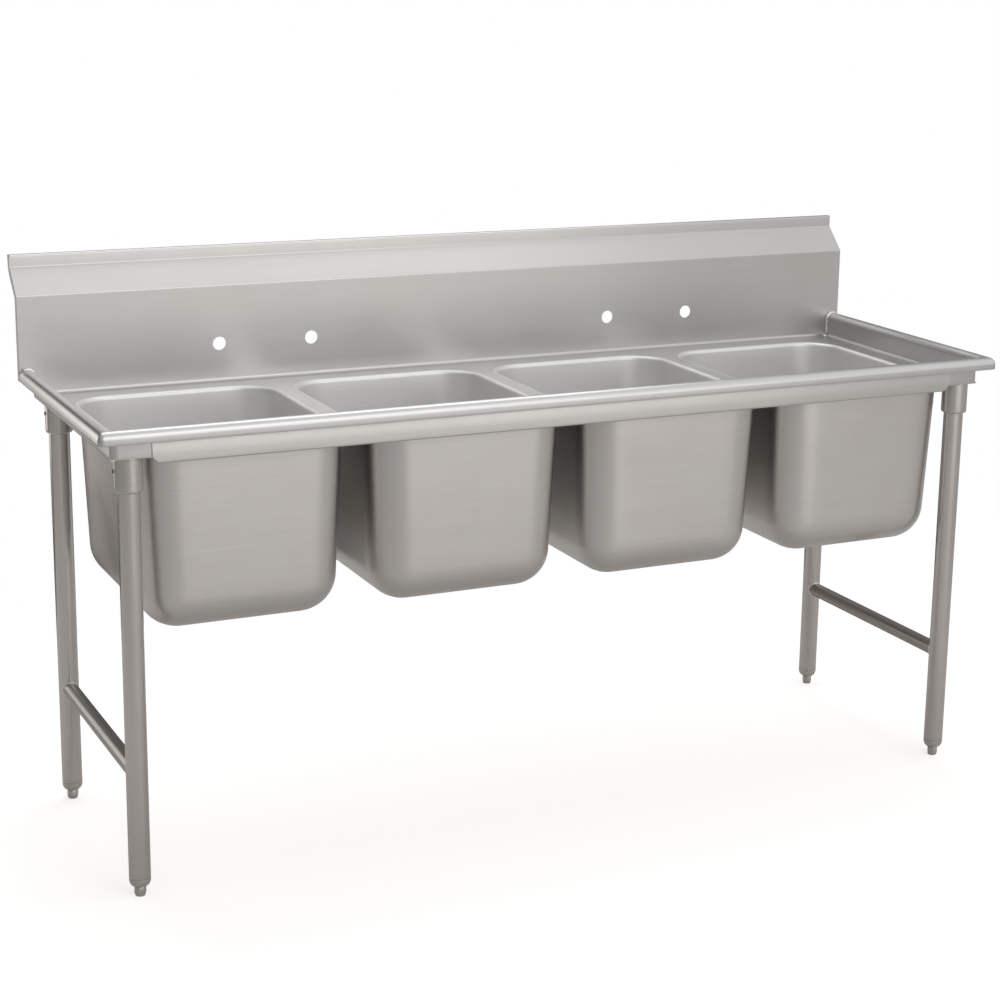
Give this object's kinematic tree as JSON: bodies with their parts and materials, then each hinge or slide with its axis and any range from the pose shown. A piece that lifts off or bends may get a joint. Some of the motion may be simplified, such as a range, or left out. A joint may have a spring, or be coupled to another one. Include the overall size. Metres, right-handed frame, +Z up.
{
  "type": "compartment sink",
  "caption": "Commercial stainless steel scullery sink: deep bowls in a rolled-rim deck, tall splash with faucet holes, tubular legs with adjustable feet and lift-out drain baskets.",
  "frame": {"origin": "on the floor, at the centre of the sink's outline", "axes": "+X along the sink to the right of a person standing at it, +Y towards the wall, +Z up"},
  "size_m": [1.956, 0.686, 1.139],
  "materials": {
    "sheet_steel": "satin brushed stainless sheet, grain along the sink",
    "tube_steel": "satin brushed stainless tube, grain along the tube",
    "socket_steel": "satin machined stainless",
    "screw_steel": "plain steel set screw",
    "foot_steel": "satin stainless",
    "drain_steel": "polished stainless",
    "gasket_rubber": "matt black rubber",
    "washer_fibre": "red-brown fibre",
    "locknut_metal": "cast metal, as cast"
  },
  "bodies": {
    "sink": {"deck": "sheet_steel", "front_rim": "sheet_steel", "left_rim": "sheet_steel", "right_rim": "sheet_steel", "backsplash": "sheet_steel", "left_splash_return": "sheet_steel", "right_splash_return": "sheet_steel", "front_apron": "sheet_steel", "bowl_1": "sheet_steel", "bowl_2": "sheet_steel", "bowl_3": "sheet_steel", "bowl_4": "sheet_steel", "left_cross_rail": "tube_steel", "right_cross_rail": "tube_steel", "set_screws": "screw_steel", "leg_front_left": "tube_steel", "leg_socket_front_left": "socket_steel", "socket_plate_front_left": "sheet_steel", "foot_insert_front_left": "foot_steel", "leg_front_right": "tube_steel", "leg_socket_front_right": "socket_steel", "socket_plate_front_right": "sheet_steel", "foot_insert_front_right": "foot_steel", "leg_rear_left": "tube_steel", "leg_socket_rear_left": "socket_steel", "socket_plate_rear_left": "sheet_steel", "foot_insert_rear_left": "foot_steel", "leg_rear_right": "tube_steel", "leg_socket_rear_right": "socket_steel", "socket_plate_rear_right": "sheet_steel", "foot_insert_rear_right": "foot_steel", "drain_body_1": "drain_steel", "drain_gasket_1": "gasket_rubber", "drain_washer_1": "washer_fibre", "drain_locknut_1": "locknut_metal", "drain_body_2": "drain_steel", "drain_gasket_2": "gasket_rubber", "drain_washer_2": "washer_fibre", "drain_locknut_2": "locknut_metal", "drain_body_3": "drain_steel", "drain_gasket_3": "gasket_rubber", "drain_washer_3": "washer_fibre", "drain_locknut_3": "locknut_metal", "drain_body_4": "drain_steel", "drain_gasket_4": "gasket_rubber", "drain_washer_4": "washer_fibre", "drain_locknut_4": "locknut_metal"},
    "foot_front_left": {"foot_front_left": "foot_steel"},
    "foot_front_right": {"foot_front_right": "foot_steel"},
    "foot_rear_left": {"foot_rear_left": "foot_steel"},
    "foot_rear_right": {"foot_rear_right": "foot_steel"},
    "basket_1": {"drain_basket_1": "drain_steel"},
    "basket_2": {"drain_basket_2": "drain_steel"},
    "basket_3": {"drain_basket_3": "drain_steel"},
    "basket_4": {"drain_basket_4": "drain_steel"}
  },
  "joints": [
    {"name": "foot_front_left_adjust", "type": "slide", "parent": "sink", "child": "foot_front_left", "axis": [0, 0, -1], "range_m": [0, 0.025]},
    {"name": "foot_front_right_adjust", "type": "slide", "parent": "sink", "child": "foot_front_right", "axis": [0, 0, -1], "range_m": [0, 0.025]},
    {"name": "foot_rear_left_adjust", "type": "slide", "parent": "sink", "child": "foot_rear_left", "axis": [0, 0, -1], "range_m": [0, 0.025]},
    {"name": "foot_rear_right_adjust", "type": "slide", "parent": "sink", "child": "foot_rear_right", "axis": [0, 0, -1], "range_m": [0, 0.025]},
    {"name": "basket_1_lift", "type": "slide", "parent": "sink", "child": "basket_1", "axis": [0, 0, 1], "range_m": [0, 0.4]},
    {"name": "basket_2_lift", "type": "slide", "parent": "sink", "child": "basket_2", "axis": [0, 0, 1], "range_m": [0, 0.4]},
    {"name": "basket_3_lift", "type": "slide", "parent": "sink", "child": "basket_3", "axis": [0, 0, 1], "range_m": [0, 0.4]},
    {"name": "basket_4_lift", "type": "slide", "parent": "sink", "child": "basket_4", "axis": [0, 0, 1], "range_m": [0, 0.4]}
  ]
}
